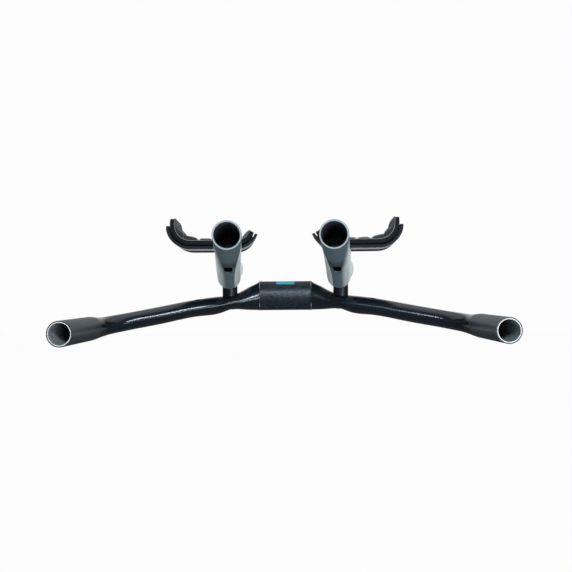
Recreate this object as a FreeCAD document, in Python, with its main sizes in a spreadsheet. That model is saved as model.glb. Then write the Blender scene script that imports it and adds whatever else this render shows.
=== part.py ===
"""Time trial base bar: a flattened bar with horns, posts, bent extensions and padded armrests.

Millimetres. The origin is the middle of the stem's clamp zone, +X is the rider's left,
-Y is forward and +Z is up. The left side is modelled and the right side is its mirror image.
"""
import FreeCAD, Part
import Sketcher
import math
import os

Vector = FreeCAD.Vector

# Sizes in millimetres, and angles in degrees
SIZES = {
    "clamp_diameter": 31.8,
    "clamp_length": 56.0,
    "clamp_wall": 2.6,
    "clamp_core_overlap": 0.5,
    "shoulder_diameter": 33.0,
    "bar_wall": 2.2,
    "bar_width": 400.0,
    "bar_reach": 169.0,
    "bar_sweep_angle": 13.6,
    "wing_chord": 38.0,
    "wing_thickness": 18.5,
    "wing_nose_share": 0.46,
    "throat_run": 5.0,
    "throat_drop": 1.9,
    "throat_thickness": 28.0,
    "flank_run": 11.5,
    "flank_drop": 3.4,
    "flank_thickness": 24.6,
    "waist_run": 20.0,
    "waist_drop": 5.4,
    "waist_thickness": 19.4,
    "seat_drop": 6.9,
    "seat_thickness": 15.8,
    "root_run": 46.0,
    "root_drop": 9.7,
    "port_spacing": 188.0,
    "port_drop": 12.2,
    "port_diameter": 7.5,
    "port_tilt_angle": 32.0,
    "elbow_radius": 40.0,
    "horn_taper": 17.0,
    "horn_drop": 30.5,
    "horn_flare_angle": 3.1,
    "horn_diameter": 24.0,
    "horn_bore": 20.4,
    "horn_core_overlap": 2.0,
    "post_spacing": 121.0,
    "post_forward": 8.6,
    "post_diameter": 16.3,
    "post_top": 14.5,
    "saddle_gap": 0.1,
    "boss_diameter": 17.0,
    "drill_length": 80.0,
    "riser_bolt_diameter": 6.0,
    "riser_bolt_length": 26.0,
    "riser_head_diameter": 10.0,
    "riser_head_height": 4.0,
    "riser_key": 5.0,
    "riser_washer_diameter": 11.6,
    "riser_washer_thickness": 1.0,
    "counterbore_diameter": 12.2,
    "counterbore_roof": -9.6,
    "spigot_diameter": 12.0,
    "spigot_length": 8.0,
    "sliding_gap": 0.1,
    "thread_gap": 0.05,
    "hole_gap": 0.3,
    "toe_in_angle": 4.3,
    "extension_diameter": 22.2,
    "extension_wall": 1.5,
    "extension_height": 29.0,
    "extension_tail": 75.0,
    "extension_entry": 22.0,
    "dip_angle": 10.0,
    "dip_radius": 60.0,
    "dip_length": 40.0,
    "rise_angle": 12.0,
    "rise_radius": 120.0,
    "rise_length": 80.0,
    "tip_angle": 6.0,
    "tip_radius": 150.0,
    "tip_length": 70.0,
    "plug_length": 12.0,
    "plug_flange": 2.0,
    "cable_slot_width": 7.4,
    "cable_slot_length": 22.0,
    "cable_slot_forward": 181.0,
    "cable_slot_level": 6.0,
    "ring_wall": 3.1,
    "ring_length": 40.0,
    "block_inner": 9.0,
    "block_outer": 11.5,
    "ear_relief": 1.0,
    "slit_width": 1.6,
    "slit_offset": 3.0,
    "pinch_diameter": 4.0,
    "pinch_length": 14.0,
    "pinch_head_diameter": 7.0,
    "pinch_head_height": 4.0,
    "pinch_head_sink": 2.6,
    "pinch_key": 3.0,
    "pinch_spacing": 28.0,
    "pinch_floor": 2.1,
    "pinch_roof": 2.8,
    "cup_thickness": 3.0,
    "cup_length": 88.0,
    "cup_forward": 20.0,
    "cup_flat_start": 52.0,
    "cup_flat_end": 102.2,
    "inner_curl_radius": 22.0,
    "inner_curl_angle": 62.0,
    "inner_lip": 5.0,
    "outer_curl_radius": 26.0,
    "outer_curl_angle": 86.0,
    "outer_lip": 1.5,
    "cup_corner": 16.0,
    "screw_diameter": 5.0,
    "screw_length": 10.0,
    "screw_head_diameter": 9.4,
    "screw_head_height": 2.4,
    "screw_key": 3.0,
    "screw_key_depth": 2.0,
    "screw_spacing": 12.0,
    "screw_offset": 5.0,
    "layer_gap": 0.1,
    "loop_thickness": 1.2,
    "loop_margin": 7.0,
    "loop_lip": 0.5,
    "loop_corner": 10.0,
    "pad_thickness": 8.4,
    "pad_length": 84.0,
    "pad_inner_lip": 6.0,
    "pad_outer_lip": 9.5,
    "pad_corner": 18.0,
    "groove_width": 2.2,
    "groove_depth": 3.0,
    "groove_pitch": 15.0,
    "groove_count": 5,
    "groove_start": 12.5,
}

doc = FreeCAD.newDocument("TimeTrialBaseBar")
sheet = doc.addObject("Spreadsheet::Sheet", "Sizes")
for row, (alias, value) in enumerate(SIZES.items(), start=1):
    sheet.set(f"A{row}", alias.replace("_", " "))
    sheet.set(f"B{row}", str(value))
    sheet.setAlias(f"B{row}", alias)
doc.recompute()


def size(alias):
    return float(sheet.get(alias))


def cylinder(name, diameter, height, place):
    solid = doc.addObject("Part::Cylinder", name)
    solid.setExpression("Radius", f"({diameter}) / 2")
    solid.setExpression("Height", height)
    solid.setExpression("Placement", place)
    return solid


def cone(name, low_diameter, high_diameter, height, place):
    solid = doc.addObject("Part::Cone", name)
    solid.setExpression("Radius1", f"({low_diameter}) / 2")
    solid.setExpression("Radius2", f"({high_diameter}) / 2")
    solid.setExpression("Height", height)
    solid.setExpression("Placement", place)
    return solid


def box(name, length, width, height, place):
    solid = doc.addObject("Part::Box", name)
    solid.setExpression("Length", length)
    solid.setExpression("Width", width)
    solid.setExpression("Height", height)
    solid.setExpression("Placement", place)
    return solid


def hexagon(name, across_flats, height, place):
    solid = doc.addObject("Part::Prism", name)
    solid.Polygon = 6
    solid.setExpression("Circumradius", f"({across_flats}) / sqrt(3)")
    solid.setExpression("Height", height)
    solid.setExpression("Placement", place)
    return solid


def fuse(name, solids):
    result = doc.addObject("Part::MultiFuse", name)
    result.Shapes = solids
    return result


def cut(name, base, tools):
    tool = tools[0]
    if len(tools) > 1:
        tool = fuse(f"{name}_tools", tools)
    result = doc.addObject("Part::Cut", name)
    result.Base = base
    result.Tool = tool
    return result


def computed(name, shape):
    result = doc.addObject("Part::Feature", name)
    result.Shape = shape
    return result


def at(x, y, z, turn="rotation(vector(0; 0; 1); 0)"):
    return f"placement(vector({x}; {y}; {z}); {turn})"


ALONG_X = "rotation(vector(0; 1; 0); 90)"
ALONG_Y = "rotation(vector(1; 0; 0); -90)"
POINTING_DOWN = "rotation(vector(1; 0; 0); 180)"

# Middle of the left post
POST_X = "Sizes.post_spacing / 2"
POST_Y = "-Sizes.post_forward"

# The left clamp, extension and armrest are modelled in a frame over the post, turned by the toe-in
TOE_IN = "rotation(vector(0; 0; 1); -Sizes.toe_in_angle)"
ARM_FRAME = at(POST_X, POST_Y, "0", TOE_IN)

# Height of the pinch bolts over the extension, and of the seat over them that carries the armrest
PINCH_Z = ("(Sizes.extension_height + Sizes.extension_diameter / 2 + Sizes.pinch_floor"
           " + Sizes.pinch_diameter / 2)")
SEAT_Z = f"({PINCH_Z} + Sizes.pinch_head_diameter / 2 + Sizes.pinch_roof)"
tube_top = size("extension_height") + size("extension_diameter") / 2
pinch_z = tube_top + size("pinch_floor") + size("pinch_diameter") / 2
seat_z = pinch_z + size("pinch_head_diameter") / 2 + size("pinch_roof")

nodes = []


def mirrored(left):
    right = doc.addObject("Part::Mirroring", f"{left.Name}_mirrored")
    right.Source = left
    right.Base = (0, 0, 0)
    right.Normal = (1, 0, 0)
    return right


def finish(left, name):
    """Name a left piece and add its mirror image as the right one."""
    right = mirrored(left)
    left.Label = f"left_{name}"
    right.Label = f"right_{name}"
    nodes.extend([left, right])


# Base bar: sections along one half, from the shoulder of the clamp zone to the horn
AROUND = 32


def section(middle, tangent, nose, tail, half):
    """Points round a section from its tail: half an ellipse to the front and half to the rear."""
    up = Vector(0, 0, 1) - tangent * tangent.z
    up.normalize()
    forward = tangent.cross(up)
    points = []
    for step in range(AROUND):
        angle = math.pi + 2 * math.pi * step / AROUND
        reach = nose if math.cos(angle) > 0 else tail
        points.append(middle + forward * (reach * math.cos(angle)) + up * (half * math.sin(angle)))
    return points + points[:1]


def skinned(sections):
    """A closed solid whose surface passes through every section."""
    surface = Part.BSplineSurface()
    surface.interpolate(sections)
    side = surface.toShape()
    caps = []
    for points in (sections[0], sections[-1]):
        middle = (points[0] + points[AROUND // 2]) * 0.5
        rim = min(side.Edges, key=lambda edge: edge.CenterOfMass.distanceToPoint(middle))
        caps.append(Part.Face(Part.Wire([rim])))
    joined = Part.Compound([side] + caps)
    joined.sewShape()
    solid = Part.Solid(joined.Shells[0])
    if solid.Volume < 0:
        solid.reverse()
    return solid


def eased(share):
    return share * share * (3 - 2 * share)


start_x = size("clamp_length") / 2
sweep = math.tan(math.radians(size("bar_sweep_angle")))
flare = math.tan(math.radians(size("horn_flare_angle")))
tip = Vector(size("bar_width") / 2, -size("bar_reach"), -size("horn_drop"))
corner_x = (tip.x - flare * (size("bar_reach") + sweep * start_x)) / (1 - flare * sweep)
corner = Vector(corner_x, -sweep * (corner_x - start_x), -size("horn_drop"))


def on_wing(x, drop):
    return Vector(x, -sweep * (x - start_x), -drop)


# Each row: place along the bar, chord and thickness
shoulder = size("shoulder_diameter")
chord = size("wing_chord")
wing = size("wing_thickness")
throat = on_wing(start_x + size("throat_run"), size("throat_drop"))
flank = on_wing(start_x + size("flank_run"), size("flank_drop"))
waist = on_wing(start_x + size("waist_run"), size("waist_drop"))
wing_rows = [
    (throat, (2 * shoulder + chord) / 3, size("throat_thickness")),
    (flank, (shoulder + chord) / 2, size("flank_thickness")),
    (waist, (shoulder + 3 * chord) / 4, size("waist_thickness")),
    (on_wing(size("post_spacing") / 2, size("seat_drop")), chord, size("seat_thickness")),
    (on_wing(start_x + size("root_run"), size("root_drop")), chord, wing),
    (on_wing(size("port_spacing") / 2, size("port_drop")), chord, wing),
]

port_middle = wing_rows[-1][0]
wing_line = (corner - port_middle).normalize()
horn_line = (tip - corner).normalize()
turn = wing_line.getAngle(horn_line)
elbow_reach = size("elbow_radius") * math.tan(turn / 2)
elbow_start = corner - wing_line * elbow_reach
elbow_end = corner + horn_line * elbow_reach
elbow_axis = wing_line.cross(horn_line).normalize()
elbow_centre = elbow_start + elbow_axis.cross(wing_line) * size("elbow_radius")
horn_start = elbow_end + horn_line * size("horn_taper")


def bar_half(inset):
    """One half of the bar up to its horn, with every section drawn in by the inset."""
    nose_share = size("wing_nose_share")
    horn_radius = size("horn_diameter") / 2 - inset
    round_end = shoulder / 2 - inset
    sections = [section(Vector(start_x, 0, 0), Vector(1, 0, 0), round_end, round_end, round_end)]
    for middle, width, thickness in wing_rows:
        share = 0.5 + (nose_share - 0.5) * (shoulder - thickness) / (shoulder - wing)
        nose = width * share - inset
        tail = width * (1 - share) - inset
        sections.append(section(middle, wing_line, nose, tail, thickness / 2 - inset))
    halfway = (port_middle + elbow_start) * 0.5
    nose = chord * nose_share - inset
    tail = chord * (1 - nose_share) - inset
    sections.append(section(halfway, wing_line, nose, tail, wing / 2 - inset))

    def blended(run):
        """Nose, tail and half thickness at a run from the elbow's start, round at the end of the taper."""
        share = max(0.0, run - change_start) / (elbow_length + size("horn_taper") - change_start)
        blend = eased(share)
        return [side + (horn_radius - side) * blend for side in (nose, tail, wing / 2 - inset)]

    elbow_length = size("elbow_radius") * turn
    change_start = elbow_length / 2
    steps = 6
    for step in range(steps + 1):
        share = step / steps
        spin = FreeCAD.Rotation(elbow_axis, math.degrees(turn) * share)
        middle = elbow_centre + spin.multVec(elbow_start - elbow_centre)
        sections.append(section(middle, spin.multVec(wing_line), *blended(elbow_length * share)))
    for share in (0.5, 1.0):
        run = size("horn_taper") * share
        sections.append(section(elbow_end + horn_line * run, horn_line, *blended(elbow_length + run)))
    return skinned(sections)


def drawn_out(solid, end, run):
    """Continue a solid from its flat face at one end, as one closed shell."""
    flat = min(solid.Faces, key=lambda face: face.CenterOfMass.distanceToPoint(end))
    kept = [face for face in solid.Faces if not face.isSame(flat)]
    added = [face for face in flat.extrude(run).Faces if face.CenterOfMass.distanceToPoint(end) > 0.1]
    return Part.Solid(Part.Shell(kept + added))


bar_skin = computed("bar_skin", drawn_out(bar_half(0.0), horn_start, tip - horn_start))
bar_core = computed("bar_core", bar_half(size("bar_wall")))
overlap = size("horn_core_overlap")
horn_length = (tip - horn_start).Length
horn_core = computed("horn_core", Part.makeCylinder(size("horn_bore") / 2, horn_length + 2 * overlap))
horn_turn = FreeCAD.Rotation(Vector(0, 0, 1), horn_line)
horn_core.Placement = FreeCAD.Placement(horn_start - horn_line * overlap, horn_turn)
clamp_start = at("-Sizes.clamp_length / 2", "0", "0", ALONG_X)
clamp_skin = cylinder("clamp_skin", "Sizes.clamp_diameter", "Sizes.clamp_length", clamp_start)
core_start = at("-Sizes.clamp_length / 2 - Sizes.clamp_core_overlap", "0", "0", ALONG_X)
clamp_core = cylinder("clamp_core", "Sizes.clamp_diameter - 2 * Sizes.clamp_wall",
                      "Sizes.clamp_length + 2 * Sizes.clamp_core_overlap", core_start)
bar_solid = fuse("bar_solid", [clamp_skin, bar_skin, mirrored(bar_skin)])
bar_hollow = fuse("bar_hollow", [clamp_core, bar_core, horn_core, mirrored(bar_core), mirrored(horn_core)])

# A solid boss stands inside each wing and takes the bolt that holds the post
UNDER_POST = at(POST_X, POST_Y, "-Sizes.drill_length / 2")
boss = cylinder("boss", "Sizes.boss_diameter", "Sizes.drill_length", UNDER_POST)
bar_room = cut("bar_room", bar_hollow, [boss, mirrored(boss)])
bar_tube = cut("bar_tube", bar_solid, [bar_room])
BOLT_HOLE = "Sizes.riser_bolt_diameter + 2 * Sizes.hole_gap"
bolt_hole = cylinder("bolt_hole", BOLT_HOLE, "Sizes.drill_length", UNDER_POST)
head_hole = cylinder("head_hole", "Sizes.counterbore_diameter",
                     "Sizes.counterbore_roof + Sizes.drill_length / 2", UNDER_POST)
port_turn = "rotation(vector(1; 0; 0); Sizes.port_tilt_angle)"
port_place = at("Sizes.port_spacing / 2", str(port_middle.y), "-Sizes.port_drop", port_turn)
cable_port = cylinder("cable_port", "Sizes.port_diameter", "Sizes.drill_length / 2", port_place)
drills = [bolt_hole, head_hole, cable_port]
base_bar = cut("base_bar", bar_tube, drills + [mirrored(drill) for drill in drills])
base_bar.Label = "base_bar"
nodes.append(base_bar)

# Riser post: a tube whose foot is cut to the wing's upper surface
POST_LENGTH = "Sizes.post_top - Sizes.saddle_gap + Sizes.seat_drop"
post_rod = cylinder("post_rod", "Sizes.post_diameter", POST_LENGTH, at(POST_X, POST_Y, "-Sizes.seat_drop"))
post_bore = cylinder("post_bore", "Sizes.spigot_diameter + 2 * Sizes.sliding_gap", "Sizes.drill_length",
                     UNDER_POST)
riser_post = cut("riser_post", post_rod, [bar_skin, post_bore])
riser_post.setExpression("Placement", at("0", "0", "Sizes.saddle_gap"))
finish(riser_post, "riser_post")

# Riser bolt and its washer, up from below into the clamp's spigot
WASHER_FOOT = "Sizes.counterbore_roof - Sizes.riser_washer_thickness"
washer_disc = cylinder("washer_disc", "Sizes.riser_washer_diameter", "Sizes.riser_washer_thickness",
                       at(POST_X, POST_Y, WASHER_FOOT))
washer_hole = cylinder("washer_hole", BOLT_HOLE, "Sizes.drill_length", UNDER_POST)
finish(cut("riser_washer", washer_disc, [washer_hole]), "riser_washer")

bolt_shank = cylinder("bolt_shank", "Sizes.riser_bolt_diameter", "Sizes.riser_bolt_length",
                      at(POST_X, POST_Y, WASHER_FOOT))
bolt_head = cylinder("bolt_head", "Sizes.riser_head_diameter", "Sizes.riser_head_height",
                     at(POST_X, POST_Y, WASHER_FOOT, POINTING_DOWN))
bolt_key = hexagon("bolt_key", "Sizes.riser_key", "Sizes.riser_head_height",
                   at(POST_X, POST_Y, f"{WASHER_FOOT} - Sizes.riser_head_height / 2", POINTING_DOWN))
finish(cut("riser_bolt", fuse("bolt_solid", [bolt_shank, bolt_head]), [bolt_key]), "riser_bolt")

# Extension clamp: a ring on a foot, with a split block above it that carries the armrest
BORE = "Sizes.extension_diameter + 2 * Sizes.sliding_gap"
AXIS = "Sizes.extension_height"
ring = cylinder("ring", "Sizes.extension_diameter + 2 * Sizes.ring_wall", "Sizes.ring_length",
                at("0", "-Sizes.ring_length / 2", AXIS, ALONG_Y))
FOOT_LENGTH = "Sizes.extension_height - Sizes.post_top"
foot = cylinder("foot", "Sizes.post_diameter", FOOT_LENGTH, at("0", "0", "Sizes.post_top"))
spigot = cylinder("spigot", "Sizes.spigot_diameter", f"{FOOT_LENGTH} + Sizes.spigot_length",
                  at("0", "0", "Sizes.post_top - Sizes.spigot_length"))
block = box("block", "Sizes.block_inner + Sizes.block_outer", "Sizes.ring_length",
            f"{SEAT_Z} - Sizes.extension_height",
            at("-Sizes.block_inner", "-Sizes.ring_length / 2", AXIS))
clamp_solid = fuse("clamp_solid", [ring, foot, spigot, block])
bore = cylinder("bore", BORE, "2 * Sizes.ring_length", at("0", "-Sizes.ring_length", AXIS, ALONG_Y))
slit = box("slit", "Sizes.slit_width", "2 * Sizes.ring_length", "Sizes.drill_length",
           at("-Sizes.slit_offset - Sizes.slit_width / 2", "-Sizes.ring_length", AXIS))
relief = box("relief", "Sizes.block_inner", "2 * Sizes.ring_length", "Sizes.drill_length",
             at("-Sizes.block_inner - Sizes.slit_offset", "-Sizes.ring_length",
                f"{SEAT_Z} - Sizes.ear_relief"))
riser_thread = cylinder("riser_thread", "Sizes.riser_bolt_diameter + 2 * Sizes.thread_gap",
                        f"Sizes.riser_bolt_length + {WASHER_FOOT} + Sizes.hole_gap", at("0", "0", "0"))
clamp_tools = [bore, slit, relief, riser_thread]
HEAD_SEAT = "-Sizes.block_inner + Sizes.pinch_head_sink"
CUP_FLOOR = f"{SEAT_Z} + Sizes.cup_thickness"
pinch_bolts = []
screws = []
for end, sign in (("front", "-1"), ("rear", "1")):
    pinch_y = f"{sign} * Sizes.pinch_spacing / 2"
    under_head = at(HEAD_SEAT, pinch_y, PINCH_Z, ALONG_X)
    pinch_hole = cylinder(f"{end}_pinch_hole", "Sizes.pinch_diameter + 2 * Sizes.thread_gap",
                          "Sizes.pinch_length + Sizes.hole_gap", under_head)
    head_sink = cylinder(f"{end}_head_sink", "Sizes.pinch_head_diameter + 2 * Sizes.hole_gap",
                         "Sizes.drill_length",
                         at(f"{HEAD_SEAT} - Sizes.drill_length", pinch_y, PINCH_Z, ALONG_X))
    clamp_tools += [pinch_hole, head_sink]
    shank = cylinder(f"{end}_pinch_shank", "Sizes.pinch_diameter", "Sizes.pinch_length", under_head)
    head = cylinder(f"{end}_pinch_head", "Sizes.pinch_head_diameter", "Sizes.pinch_head_height",
                    at(f"{HEAD_SEAT} - Sizes.pinch_head_height", pinch_y, PINCH_Z, ALONG_X))
    key = hexagon(f"{end}_pinch_key", "Sizes.pinch_key", "Sizes.pinch_head_height",
                  at(f"{HEAD_SEAT} - 1.5 * Sizes.pinch_head_height", pinch_y, PINCH_Z, ALONG_X))
    pinch_bolts.append(cut(f"{end}_pinch_bolt", fuse(f"{end}_pinch_solid", [shank, head]), [key]))

    # Flush screws that hold the cup to the outer part of the block
    screw_y = f"{sign} * Sizes.screw_spacing / 2"
    screw_top = at("Sizes.screw_offset", screw_y, CUP_FLOOR, POINTING_DOWN)
    screw_hole = cylinder(f"{end}_screw_hole", "Sizes.screw_diameter + 2 * Sizes.thread_gap",
                          "Sizes.screw_length + Sizes.hole_gap", screw_top)
    clamp_tools.append(screw_hole)
    screw_shank = cylinder(f"{end}_screw_shank", "Sizes.screw_diameter", "Sizes.screw_length", screw_top)
    screw_head = cone(f"{end}_screw_head", "Sizes.screw_head_diameter", "Sizes.screw_diameter",
                      "Sizes.screw_head_height", screw_top)
    screw_key = hexagon(f"{end}_screw_key", "Sizes.screw_key", "Sizes.drill_length",
                        at("Sizes.screw_offset", screw_y, f"{CUP_FLOOR} - Sizes.screw_key_depth"))
    screws.append(cut(f"{end}_screw", fuse(f"{end}_screw_solid", [screw_shank, screw_head]), [screw_key]))

extension_clamp = cut("extension_clamp", clamp_solid, clamp_tools)
extension_clamp.setExpression("Placement", ARM_FRAME)
finish(extension_clamp, "extension_clamp")
pinch_group = doc.addObject("Part::Compound", "pinch_group")
pinch_group.Links = pinch_bolts
pinch_group.setExpression("Placement", ARM_FRAME)
finish(pinch_group, "pinch_bolts")

# Extension: a tube swept along a path of straights and bends, then slotted underneath
def origin_plane(body, role):
    return next(feature for feature in body.Origin.OriginFeatures if feature.Role == role)


def sketch_on(body, role, name):
    sketch = body.newObject("Sketcher::SketchObject", name)
    sketch.AttachmentSupport = (origin_plane(body, role), [""])
    sketch.MapMode = "FlatFace"
    return sketch


tube = doc.addObject("PartDesign::Body", "extension")
ring_sketch = sketch_on(tube, "XZ_Plane", "tube_ring")
ring_sketch.setExpression("AttachmentOffset.Base.z", "-Sizes.extension_tail")
ring_sizes = [
    ("outside", "Sizes.extension_diameter"),
    ("inside", "Sizes.extension_diameter - 2 * Sizes.extension_wall"),
]
for place, (alias, expression) in enumerate(ring_sizes):
    radius = size("extension_diameter") / 2 - place * size("extension_wall")
    ring_sketch.addGeometry(Part.Circle(Vector(0, 0, 0), Vector(0, 0, 1), radius))
    ring_sketch.addConstraint(Sketcher.Constraint("Coincident", place, 3, -1, 1))
    ring_sketch.addConstraint(Sketcher.Constraint("Diameter", place, 2 * radius))
    ring_sketch.renameConstraint(2 * place + 1, alias)
    ring_sketch.setExpression(f"Constraints.{alias}", expression)

# The path runs forward along -Y from the tail end, with each bend tangent to its straights
path_sketch = sketch_on(tube, "YZ_Plane", "tube_path")
bends = [
    (0.0, -size("dip_angle"), size("dip_radius"), size("dip_length")),
    (-size("dip_angle"), size("rise_angle"), size("rise_radius"), size("rise_length")),
    (size("rise_angle"), size("tip_angle"), size("tip_radius"), size("tip_length")),
]
here = Vector(-size("extension_entry"), 0, 0)
edges = [Part.LineSegment(Vector(size("extension_tail"), 0, 0), here)]
for before, after, radius, straight in bends:
    side = 1 if after > before else -1
    a = math.radians(before)
    b = math.radians(after)
    centre = here + Vector(math.sin(a), math.cos(a), 0) * (side * radius)
    there = centre - Vector(math.sin(b), math.cos(b), 0) * (side * radius)
    middle_angle = (a + b) / 2
    middle = centre - Vector(math.sin(middle_angle), math.cos(middle_angle), 0) * (side * radius)
    edges.append(Part.Arc(here, middle, there))
    here = there + Vector(-math.cos(b), math.sin(b), 0) * straight
    edges.append(Part.LineSegment(there, here))
path_sketch.addGeometry(edges)
path_sketch.addConstraint([Sketcher.Constraint("Block", place) for place in range(len(edges))])

sweep_tube = tube.newObject("PartDesign::AdditivePipe", "tube_sweep")
sweep_tube.Profile = ring_sketch
sweep_tube.Spine = (path_sketch, [f"Edge{place + 1}" for place in range(len(edges))])
doc.recompute()

slot_sketch = sketch_on(tube, "XY_Plane", "cable_slot_outline")
slot_sketch.setExpression("AttachmentOffset.Base.z", "Sizes.cable_slot_level")
half_slot = size("cable_slot_width") / 2
half_run = size("cable_slot_length") / 2 - half_slot
slot_y = -size("cable_slot_forward")
corners = ((-1, -1), (-1, 1), (1, 1), (1, -1))
ends = [Vector(side * half_slot, slot_y + end * half_run, 0) for end, side in corners]
slot_sketch.addGeometry(Part.Arc(ends[0], Vector(0, slot_y - half_run - half_slot, 0), ends[1]))
slot_sketch.addGeometry(Part.LineSegment(ends[1], ends[2]))
slot_sketch.addGeometry(Part.Arc(ends[2], Vector(0, slot_y + half_run + half_slot, 0), ends[3]))
slot_sketch.addGeometry(Part.LineSegment(ends[3], ends[0]))
slot_sketch.addConstraint([Sketcher.Constraint("Block", place) for place in range(4)])
slot = tube.newObject("PartDesign::Pocket", "cable_slot")
slot.Profile = slot_sketch
slot.setExpression("Length", "Sizes.extension_diameter + Sizes.cable_slot_level")
slot.Reversed = False
tube.Tip = slot
tube.setExpression("Placement", at(POST_X, POST_Y, AXIS, TOE_IN))
finish(tube, "extension")

# Rear plug: a cap with a stub that closes the tail end of the extension
stub = cylinder("stub", "Sizes.extension_diameter - 2 * Sizes.extension_wall - 2 * Sizes.sliding_gap",
                "Sizes.plug_length + Sizes.plug_flange",
                at("0", "Sizes.extension_tail - Sizes.plug_length", AXIS, ALONG_Y))
flange = cylinder("flange", "Sizes.extension_diameter", "Sizes.plug_flange",
                  at("0", "Sizes.extension_tail", AXIS, ALONG_Y))
rear_plug = fuse("rear_plug", [stub, flange])
rear_plug.setExpression("Placement", ARM_FRAME)
finish(rear_plug, "rear_plug")


# Armrest: layers that follow one curled line, flat in the middle and turned up on both sides
def curled_points(offset, inner_lip, outer_lip):
    """Points and arc middles, from lip to lip, of the line at a height above the cup's underside."""
    inner_x = size("cup_flat_start") - size("post_spacing") / 2
    outer_x = size("cup_flat_end") - size("post_spacing") / 2
    inner_r = size("inner_curl_radius")
    outer_r = size("outer_curl_radius")
    inner_a = math.radians(size("inner_curl_angle"))
    outer_a = math.radians(size("outer_curl_angle"))

    def inner(angle):
        radius = inner_r - offset
        return Vector(inner_x - radius * math.sin(angle), 0, seat_z + inner_r - radius * math.cos(angle))

    def outer(angle):
        radius = outer_r - offset
        return Vector(outer_x + radius * math.sin(angle), 0, seat_z + outer_r - radius * math.cos(angle))

    inner_end = inner(inner_a) + Vector(-math.cos(inner_a), 0, math.sin(inner_a)) * inner_lip
    outer_end = outer(outer_a) + Vector(math.cos(outer_a), 0, math.sin(outer_a)) * outer_lip
    rising = [inner_end, inner(inner_a), inner(inner_a / 2), inner(0)]
    return rising + [outer(0), outer(outer_a / 2), outer(outer_a), outer_end]


def curled_edges(points):
    lip, curl, curl_middle, flat, flat_end, far_middle, far, far_lip = points
    return [
        Part.makeLine(lip, curl),
        Part.Arc(curl, curl_middle, flat).toShape(),
        Part.makeLine(flat, flat_end),
        Part.Arc(flat_end, far_middle, far).toShape(),
        Part.makeLine(far, far_lip),
    ]


def upright_slab(start_x, end_x, length, top, corner):
    """A slab along the cup, with its two upper corners rounded."""
    bottom = seat_z - 1
    start = Vector(start_x, size("cup_forward") - length / 2, bottom)
    slab = Part.makeBox(end_x - start_x, length, top - bottom, start)
    rims = [edge for edge in slab.Edges if edge.BoundBox.ZMin > top - 0.01 and edge.BoundBox.XLength > 1]
    return slab.makeFillet(corner, rims)


def curled_layer(low, high, inner_lip, outer_lip, length, corner):
    """A solid layer between two heights, centred on the cup's length, with rounded corners."""
    below = curled_points(low, inner_lip, outer_lip)
    above = curled_points(high, inner_lip, outer_lip)
    edges = curled_edges(below) + curled_edges(above)
    edges += [Part.makeLine(below[0], above[0]), Part.makeLine(below[-1], above[-1])]
    face = Part.Face(Part.Wire(Part.__sortEdges__(edges)))
    face.translate(Vector(0, size("cup_forward") - length / 2, 0))
    layer = face.extrude(Vector(0, length, 0))
    middle = (below[3].x + below[4].x) / 2
    inner_slab = upright_slab(face.BoundBox.XMin - 1, middle, length, max(below[0].z, above[0].z), corner)
    outer_slab = upright_slab(middle, face.BoundBox.XMax + 1, length, max(below[-1].z, above[-1].z), corner)
    return layer.common(inner_slab.fuse(outer_slab)).removeSplitter()


cup_shape = curled_layer(0.0, size("cup_thickness"), size("inner_lip"), size("outer_lip"),
                         size("cup_length"), size("cup_corner"))
cup_plate = computed("cup_plate", cup_shape)
cup_tools = []
for end, sign in (("front", "-1"), ("rear", "1")):
    screw_y = f"{sign} * Sizes.screw_spacing / 2"
    screw_top = at("Sizes.screw_offset", screw_y, CUP_FLOOR, POINTING_DOWN)
    cup_hole = cylinder(f"{end}_cup_hole", "Sizes.screw_diameter + 2 * Sizes.hole_gap",
                        "Sizes.cup_thickness * 2", screw_top)
    cup_sink = cone(f"{end}_cup_sink", "Sizes.screw_head_diameter + 2 * Sizes.thread_gap",
                    "Sizes.screw_diameter", "Sizes.screw_head_height + Sizes.thread_gap", screw_top)
    cup_tools += [cup_hole, cup_sink]
armrest_cup = cut("armrest_cup", cup_plate, cup_tools)
armrest_cup.setExpression("Placement", ARM_FRAME)
finish(armrest_cup, "armrest_cup")
screw_group = doc.addObject("Part::Compound", "screw_group")
screw_group.Links = screws
screw_group.setExpression("Placement", ARM_FRAME)
finish(screw_group, "armrest_screws")

# Hook and loop layer between the cup and the pad
loop_low = size("cup_thickness") + size("layer_gap")
loop_high = loop_low + size("loop_thickness")
loop_length = size("cup_length") - 2 * size("loop_margin")
loop_shape = curled_layer(loop_low, loop_high, size("loop_lip"), size("loop_lip"),
                          loop_length, size("loop_corner"))
hook_and_loop = computed("hook_and_loop", loop_shape)
hook_and_loop.setExpression("Placement", ARM_FRAME)
finish(hook_and_loop, "hook_and_loop")

# Pad: one thick layer with grooves along its top
pad_low = loop_high + size("layer_gap")
pad_high = pad_low + size("pad_thickness")
pad_lips = (size("pad_inner_lip"), size("pad_outer_lip"))
pad_layer = curled_layer(pad_low, pad_high, *pad_lips, size("pad_length"), size("pad_corner"))
top_edges = curled_edges(curled_points(pad_high, *pad_lips))


def spot_on_top(run):
    """Place and direction on the pad's top line, at a run from its inner lip."""
    for edge in top_edges:
        if run <= edge.Length:
            parameter = edge.getParameterByLength(run)
            return edge.valueAt(parameter), edge.tangentAt(parameter)
        run -= edge.Length


grooves = []
for number in range(int(size("groove_count"))):
    place, heading = spot_on_top(size("groove_start") + number * size("groove_pitch"))
    width = size("groove_width")
    depth = size("groove_depth")
    start = Vector(-width / 2, size("cup_forward") - size("pad_length"), -depth)
    groove = Part.makeBox(width, 2 * size("pad_length"), 2 * depth, start)
    groove.Placement = FreeCAD.Placement(place, FreeCAD.Rotation(Vector(1, 0, 0), heading))
    grooves.append(groove)
armrest_pad = computed("armrest_pad", pad_layer.cut(grooves))
armrest_pad.setExpression("Placement", ARM_FRAME)
finish(armrest_pad, "armrest_pad")

doc.recompute()

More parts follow.
